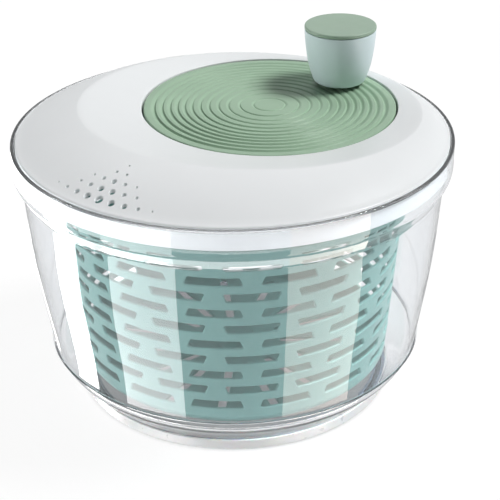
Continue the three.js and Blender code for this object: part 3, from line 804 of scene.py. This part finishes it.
def slope_row(along, depth):
    """The slope's ring at one place, as a section corner."""
    r = LID_R - 1 + along * (CREASE_R - LID_R + 1)
    z = LID_EDGE_Z + along * (CREASE_Z - LID_EDGE_Z) + SLOPE_RISE * math.sin(math.pi * along)
    return (r, z - depth, 0, CREASE_OFFSET * along, CREASE_TILT * along)


def slope(degrees, up, depth=0.0):
    """A point of the lid's slope, from its edge (0) to the crease (SLOPE_DEGREES)."""
    angle = math.radians(degrees)
    r, z, _, offset, drop = slope_row(up / SLOPE_DEGREES, depth)
    y = r * math.sin(angle)
    return r * math.cos(angle), offset + y, z - drop * y


def on_slope(x, y):
    """The slope's own (degrees, up) of a point seen from above."""
    shrink = LID_R - 1 - CREASE_R
    a = CREASE_OFFSET ** 2 - shrink ** 2
    b = 2 * (LID_R - 1) * shrink - 2 * CREASE_OFFSET * y
    c = x * x + y * y - (LID_R - 1) ** 2
    along = (-b + math.sqrt(b * b - 4 * a * c)) / (2 * a)
    return math.degrees(math.atan2(y - CREASE_OFFSET * along, x)), along * SLOPE_DEGREES


def drain_holes():
    """(x, y, diameter) of the drain holes, which are largest in the middle of the outer row."""
    holes = []
    for row in range(DRAIN_ROWS):
        across = (row % 2) / 2 - DRAIN_ACROSS
        while across <= DRAIN_ACROSS:
            size = DRAIN_LARGEST - 0.75 * abs(across) ** 1.15 - 0.8 * row ** 1.1
            if size >= DRAIN_SMALLEST:
                angle = math.radians(-90 + DRAIN_STEP * across)
                r = DRAIN_FIRST_R - DRAIN_ROW_PITCH * row
                holes.append((r * math.cos(angle), r * math.sin(angle), size))
            across += 1
    return holes


def drain_lines(side):
    """The drain holes' outlines in the slope's own (degrees, up)."""
    lines = []
    for x, y, size in drain_holes():
        outline = ring_outline(size / 2 + DRAIN_EASE * side, (x, y), 20)
        lines.append(([on_slope(*p) for p in outline], True))
    return DRAIN_EASE, lines


def lid_slope(shape):
    """The sloping ring with its drain holes, above and below."""
    first = -90 - PATCH
    holes = drain_holes()
    grid = []
    for i, along in enumerate(SLOPE_ROWS):
        for k in range(PATCH + 1):
            point = slope(first + 2 * k, along * SLOPE_DEGREES)
            clear = all(math.dist(point[:2], hole[:2]) > hole[2] / 2 + DRAIN_CLEAR for hole in holes)
            if clear or i in (0, len(SLOPE_ROWS) - 1):
                grid.append((first + 2 * k, along * SLOPE_DEGREES))
    for points, faces in pierced(grid, drain_lines, LID_WALL):
        shape.add([slope(*p) for p in points], faces)
    for depth in (0, LID_WALL):
        columns = range(first + 2 * PATCH, first + 361, 2)
        rows = [along * SLOPE_DEGREES for along in SLOPE_ROWS]
        shape.grid([[slope(degrees, up, depth) for degrees in columns] for up in rows])


def lid_floor(shape):
    """The floor of the drive's well, with the two collars that hold the bushes."""
    centres = ((0, 0), (0, CRANK_OFFSET))
    for z, r in ((WELL_FLOOR_Z, BORE_R + 0.4), (WELL_FLOOR_LOW_Z, COLLAR_R)):
        edge = ring_outline(WELL_FLOOR_R, (0, CRANK_OFFSET), SIDES)
        points, faces = filled(edge, [(ring_outline(r, centre), True) for centre in centres])
        shape.add([(x, y, z) for x, y in points], faces)
    collar = [
        (COLLAR_R, WELL_FLOOR_LOW_Z), (COLLAR_R, COLLAR_LOW_Z, 0.5), (BORE_R, COLLAR_LOW_Z, 0.4),
        (BORE_R, WELL_FLOOR_Z - 0.4), (BORE_R + 0.4, WELL_FLOOR_Z),
    ]
    for centre in centres:
        shape.turn(section(collar, closed=False), closed=False, centre=centre, sides=32)


def lid():
    """The dish and well, their underside, the edge with its skirt, then the slope and the well's floor."""
    well_out = WELL_R + LID_WALL
    edge_low = LEDGE_Z + LEDGE_GAP
    dish = [
        slope_row(SLOPE_ROWS[-1], 0), (CREASE_R, CREASE_Z, CREASE_CUT, CREASE_OFFSET, CREASE_TILT),
        (WELL_R, WELL_EDGE_Z, 0.9, CRANK_OFFSET), (WELL_R, WELL_FLOOR_Z, 1.5, CRANK_OFFSET),
        (WELL_FLOOR_R, WELL_FLOOR_Z, 0, CRANK_OFFSET),
    ]
    under = [
        slope_row(SLOPE_ROWS[-1], LID_WALL),
        (CREASE_R, CREASE_Z - LID_WALL, CREASE_CUT, CREASE_OFFSET, CREASE_TILT),
        (well_out, WELL_EDGE_Z - LID_WALL, 1, CRANK_OFFSET),
        (well_out, WELL_FLOOR_LOW_Z, 1.5, CRANK_OFFSET), (WELL_FLOOR_R, WELL_FLOOR_LOW_Z, 0, CRANK_OFFSET),
    ]
    edge = [
        slope_row(SLOPE_ROWS[0], 0), (LID_R, LID_EDGE_Z, 0.8), (LID_R, edge_low, 0.3),
        (SKIRT_R, edge_low, 0.3), (SKIRT_R, SKIRT_Z, 0.6), (SKIRT_IN, SKIRT_Z, 0.6),
        (SKIRT_IN, edge_low + LEDGE_GAP, 1.2), slope_row(SLOPE_ROWS[0], LID_WALL),
    ]
    shape = Shape()
    for rows in (dish, under, edge):
        shape.turn(section(rows, closed=False, steps=6), closed=False)
    lid_slope(shape)
    lid_floor(shape)
    piece("vented_lid", shape, "lid", WHITE, ["lid_shell"], sharp=19)


# ---- drive wheel ----


def drive_wheel():
    """A rim, a hub, four spokes, and four dogs that push the basket's ribs."""
    low, top = WHEEL_Z
    hub_low, hub_top = WHEEL_HUB_Z
    shape = Shape()
    rim = [(WHEEL_IN, low, 0.6), (WHEEL_OUT, low, 0.6), (WHEEL_OUT, top, 0.8), (WHEEL_IN, top, 0.8)]
    hub = [
        (WHEEL_BORE_R, hub_low, 0.3), (WHEEL_HUB_R, hub_low, 0.6), (WHEEL_HUB_R, hub_top, 0.8),
        (WHEEL_BORE_R, hub_top, 0.3),
    ]
    shape.turn(section(rim))
    shape.turn(section(hub), sides=48)
    for arm in range(4):
        spoke = rounded_box(SPOKE_IN, WHEEL_IN + 2, SPOKE_WIDTH, 90 * arm, 0.6)
        dog = rounded_box(WHEEL_OUT - 2, DOG_R, DOG_WIDTH, 90 * arm, 0.9)
        shape.slab(spoke, top - SPOKE_THICK, top, 0.5)
        shape.slab(dog, low, top, 0.6)
    piece("toothed_drive_wheel", shape, "driver", WHEEL_WHITE, ["drive_plate"])


# ---- crank disc and knob ----


def groove(r):
    """Depth of the disc's grooves at a radius. Each is steep on its inner side and gentle on its outer."""
    deep = 0
    for ring in RINGS:
        share = ring / RINGS[-1]
        wide = GROOVE_WIDE[0] + share * (GROOVE_WIDE[1] - GROOVE_WIDE[0])
        full = GROOVE_DEEP[0] + share * (GROOVE_DEEP[1] - GROOVE_DEEP[0])
        away = (r - ring) / wide
        reach = GROOVE_REACH[0] if away < 0 else GROOVE_REACH[1]
        if abs(away) < reach:
            deep = max(deep, full * math.cos(math.pi / 2 * away / reach) ** 2)
    return deep


def disc_top():
    """The ringed top, from the centre to the rim."""
    rows = []
    for ring, after in zip([0, *RINGS], [*RINGS, RINGS[-1] + 5]):
        for k in range(GROOVE_STEPS):
            r = ring + (after - ring) * k / GROOVE_STEPS
            if r < DISC_R - 2:
                rise = DISC_RIM * (r / DISC_R) ** 2
                rows.append((r, DISC_Z - DISC_RIM + rise - groove(r)))
    return rows


def crank_disc():
    """The ringed disc with its shaft, the knob's post, and four bosses for the ring gear's screws."""
    under = DISC_Z - DISC_THICK
    rows = [
        *disc_top(), (DISC_R, DISC_Z, 0.9), (DISC_R, under, 0.5), (DISC_R - 3, under, 0.3),
        (SHOULDER_R, under, 1.5), (SHOULDER_R, SHOULDER_Z, 0.4), (SHAFT_R, SHOULDER_Z, 0.3),
        (SHAFT_R, SHAFT_LOW_Z, 0.4), (SHAFT_HOLE_R, SHAFT_LOW_Z, 0.2), (SHAFT_HOLE_R, SHAFT_HOLE_Z),
        (0, SHAFT_HOLE_Z),
    ]
    shape = Shape()
    shape.turn(section(rows), centre=(0, CRANK_OFFSET))
    root_r, hole_z = POST_R + 2.5, POST_Z - POST_HOLE
    post = [
        (0, under + 1), (root_r, under + 1), (root_r, DISC_Z + 0.8, 0.6), (POST_R, DISC_Z + 1.4, 0.6),
        (POST_R, POST_Z, 0.5), (SCREW_HOLE_R, POST_Z, 0.2), (SCREW_HOLE_R, hole_z), (0, hole_z),
    ]
    shape.turn(section(post), centre=POST, sides=48)
    boss = [
        (SCREW_HOLE_R, TAB_TOP_Z + 0.3, 0.2), (BOSS_R, TAB_TOP_Z + 0.3, 0.3), (BOSS_R, under + 0.5),
        (SCREW_HOLE_R, under + 0.5),
    ]
    for k in range(4):
        angle = math.radians(45 + 90 * k)
        centre = (TAB_R * math.cos(angle), CRANK_OFFSET + TAB_R * math.sin(angle))
        shape.turn(section(boss), centre=centre, sides=32)
    piece("ringed_crank_disc", shape, "crank", SAGE, ["crank_disc"], sharp=40)


def knob():
    """A tapered cup that is open below, with a sleeve for the post and a recess for the cap."""
    side = [Vector((r, KNOB_Z + up)) for r, up in KNOB_SIDE]
    web, seat = POST_Z - KNOB_WEB, POST_Z - 0.5
    mouth = KNOB_BODY_Z - KNOB_MOUTH
    rows = [
        (KNOB_BORE_R, KNOB_Z + 0.3, 0.3), (KNOB_SLEEVE_R, KNOB_Z + 0.3, 0.3), (KNOB_SLEEVE_R, web, 0.5),
        (17.4, web, 1), (13.8, KNOB_Z + 2.4, 1), (13.4, KNOB_Z + 0.2, 0.3), (14.6, KNOB_Z, 0.5),
        (16, KNOB_Z + 0.8, 0.7), *smooth_line(side)[:-1], (KNOB_R - 0.1, KNOB_BODY_Z, 0.5),
        (KNOB_MOUTH_R, KNOB_BODY_Z, 0.3), (KNOB_MOUTH_R, mouth, 0.2), (KNOB_MOUTH_R - 1.5, mouth, 0.3),
        (18, seat, 1), (KNOB_BORE_R, seat, 0.3),
    ]
    shape = Shape()
    shape.turn(section(rows), centre=POST, sides=96)
    piece("tapered_knob", shape, "knob", PALE, ["knob_body"])


def knob_cap():
    """A slightly crowned disc, with a rim that reaches into the knob."""
    seat, low = KNOB_BODY_Z + CAP_GAP, KNOB_BODY_Z - CAP_RIM_LOW
    rim_in, rim_out = CAP_RIM
    rows = [
        (0, seat), (rim_in, seat, 0.4), (rim_in, low, 0.2), (rim_out, low, 0.3), (rim_out, seat, 0.2),
        (KNOB_R, seat, 0.5), (KNOB_R, KNOB_TOP_Z - 0.1, 1.1), (15, KNOB_TOP_Z, 3), (0, KNOB_TOP_Z - 0.25),
    ]
    shape = Shape()
    shape.turn(section(rows, steps=6), centre=POST, sides=96)
    piece("rounded_knob_cap", shape, "knob", CAP_SAGE, ["knob_cap"])


def finish_cad_nodes():
    """Materials for the CAD nodes that stay: gears, bearing, bushes, washers and screws."""
    slots = {part["node"]: part["material_slot"] for part in frame["record"]["subparts"]}
    materials = {"bearing_plastic": NATURAL, "steel": STEEL}
    for name, thing in frame["nodes"].items():
        material = materials.get(slots[name])
        if material:
            thing.data.materials.clear()
            thing.data.materials.append(material)


# ---- studio ----


def stage_mesh(name, points, faces, material):
    mesh = bpy.data.meshes.new(name)
    mesh.from_pydata(points, [], faces)
    mesh.materials.append(material)
    thing = bpy.data.objects.new(name, mesh)
    bpy.context.scene.collection.objects.link(thing)
    return thing


def glowing(name, strength, colour=PURE_WHITE, diffuse=None, shade=None):
    """A surface that gives off light. With diffuse it also scatters that share of what falls on it. With
    shade, two radii, it is dim inside the first and at its full strength outside the second."""
    material = bpy.data.materials.new(name)
    material.use_nodes = True
    nodes, links = material.node_tree.nodes, material.node_tree.links
    nodes.remove(nodes["Principled BSDF"])
    glow = nodes.new("ShaderNodeEmission")
    glow.inputs["Color"].default_value = (*colour, 1)
    glow.inputs["Strength"].default_value = strength
    last = glow.outputs[0]
    if shade:
        place = nodes.new("ShaderNodeTexCoord")
        length = nodes.new("ShaderNodeVectorMath")
        length.operation = "LENGTH"
        dim = nodes.new("ShaderNodeMapRange")
        dim.interpolation_type = "SMOOTHSTEP"
        ends = (*shade, SHADE_SHARE * strength, strength)
        for socket, value in zip(("From Min", "From Max", "To Min", "To Max"), ends):
            dim.inputs[socket].default_value = value
        links.new(place.outputs["Object"], length.inputs[0])
        links.new(length.outputs["Value"], dim.inputs["Value"])
        links.new(dim.outputs["Result"], glow.inputs["Strength"])
    if diffuse:
        scatter = nodes.new("ShaderNodeBsdfDiffuse")
        scatter.inputs["Color"].default_value = (diffuse, diffuse, diffuse, 1)
        both = nodes.new("ShaderNodeAddShader")
        links.new(glow.outputs[0], both.inputs[0])
        links.new(scatter.outputs[0], both.inputs[1])
        last = both.outputs[0]
    links.new(last, nodes["Material Output"].inputs["Surface"])
    return material


def mirrored(degrees, r, z, tilt, away):
    """A place on the line of sight to a point of the bowl's side, some metres after that mirrors it."""
    angle, lean = math.radians(degrees), math.radians(tilt)
    out = Vector((math.cos(angle), math.sin(angle), 0))
    point = (out * r + Vector((0, 0, z))) * MM
    sight = (point - TARGET - BACK * DISTANCE).normalized()
    return point + away * sight.reflect(out * math.cos(lean) - Vector((0, 0, math.sin(lean))))


def studio_floor():
    corners = [(x * FLOOR_HALF, y * FLOOR_HALF, 0) for x, y in ((-1, -1), (1, -1), (1, 1), (-1, 1))]
    white = glowing("floor_white", FLOOR_GLOW, diffuse=FLOOR_SCATTER, shade=FLOOR_SHADE)
    panel = stage_mesh("floor", corners, [(0, 1, 2, 3)], white)
    panel.visible_glossy = False


def soft_boxes():
    """Panels that are seen only in reflections: each is a veil on the bowl's side between two directions."""
    for name, first, last, strength, colour, away, side_levels in SOFT_BOXES:
        soft_box = Shape()
        count = SOFT_BOX_COLUMNS - 1
        columns = [first + (last - first) * k / count for k in range(SOFT_BOX_COLUMNS)]
        for levels in (side_levels, FLARE_LEVELS):
            soft_box.grid([[mirrored(degrees, *level, away) for degrees in columns] for level in levels])
        glow = glowing(f"glow_{name}", strength, colour)
        glow.cycles.emission_sampling = "NONE"
        panel = stage_mesh(f"soft_box_{name}", soft_box.points, soft_box.faces, glow)
        for ray in ("camera", "diffuse", "transmission", "volume_scatter", "shadow"):
            setattr(panel, f"visible_{ray}", False)


def sky():
    """Bright where it is seen, less so where it is mirrored, and dim as a fill light."""
    world = bpy.data.worlds.new("studio")
    bpy.context.scene.world = world
    world.use_nodes = True
    nodes, links = world.node_tree.nodes, world.node_tree.links
    background = nodes["Background"]
    background.inputs["Color"].default_value = SKY_COLOUR
    path = nodes.new("ShaderNodeLightPath")
    level = None
    for kind, less in SKY_LOSSES:
        step = nodes.new("ShaderNodeMath")
        step.operation = "MULTIPLY_ADD"
        step.inputs[1].default_value = -less
        step.inputs[2].default_value = SKY_STRENGTH
        links.new(path.outputs[kind], step.inputs[0])
        if level:
            links.new(level, step.inputs[2])
        level = step.outputs[0]
    links.new(level, background.inputs["Strength"])


def lights():
    for name, energy, angle, azimuth, elevation in LIGHTS:
        light = bpy.data.lights.new(name, "SUN")
        light.energy = energy
        light.angle = math.radians(angle)
        lamp = bpy.data.objects.new(name, light)
        bpy.context.scene.collection.objects.link(lamp)
        lamp.visible_transmission = False  # it reaches what is in the bowl by its shadow rays alone
        aim_light(lamp, azimuth, elevation)


def aim_light(lamp, azimuth, elevation):
    """Turns a light so that it shines from a direction, in degrees."""
    a, e = math.radians(azimuth), math.radians(elevation)
    towards = Vector((math.cos(e) * math.cos(a), math.cos(e) * math.sin(a), math.sin(e)))
    lamp.rotation_euler = towards.to_track_quat("Z", "Y").to_euler()


def camera():
    """A long lens that looks down on the lid, turned slightly about its own axis."""
    right = Vector((math.cos(AROUND), math.sin(AROUND), 0))
    up = BACK.cross(right)
    turned_right = math.cos(ROLL) * right + math.sin(ROLL) * up
    turned_up = math.cos(ROLL) * up - math.sin(ROLL) * right
    lens = bpy.data.cameras.new("camera")
    lens.lens = FOCAL_LENGTH
    lens.sensor_width = SENSOR_WIDTH
    lens.shift_x, lens.shift_y = SHIFT
    thing = bpy.data.objects.new("camera", lens)
    bpy.context.scene.collection.objects.link(thing)
    turned = Matrix((turned_right, turned_up, BACK)).transposed().to_4x4()
    thing.matrix_world = Matrix.Translation(TARGET + BACK * DISTANCE) @ turned
    bpy.context.scene.camera = thing


camera()
bowl()
foot_ring()
basket()
lid()
drive_wheel()
crank_disc()
knob()
knob_cap()
finish_cad_nodes()
studio_floor()
soft_boxes()
sky()
lights()
bpy.context.scene.view_settings.view_transform = "Standard"
